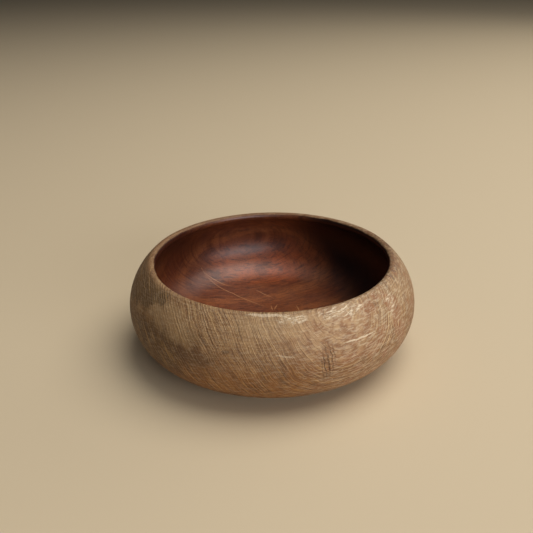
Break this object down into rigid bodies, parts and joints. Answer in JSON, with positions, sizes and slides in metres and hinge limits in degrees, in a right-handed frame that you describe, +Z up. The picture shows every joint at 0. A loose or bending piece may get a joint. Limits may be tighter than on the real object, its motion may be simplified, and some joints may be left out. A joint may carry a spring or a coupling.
{
  "type": "wooden bowl",
  "caption": "Low round turned wooden bowl with full rounded sides, an incurved rim with a rounded lip, a deep undercut hollow and a flat foot.",
  "frame": {"origin": "centre of the foot, on the surface the bowl stands on", "axes": "+Z up along the turning axis; the bowl is a full turn about it, so the other two axes only place the wood's figure, whose front faces -Y"},
  "size_m": [0.19, 0.19, 0.064],
  "materials": {
    "bowl_wood": "worn satin outside, oiled darker inside"
  },
  "bodies": {
    "root": {"bowl": "bowl_wood"}
  },
  "joints": []
}
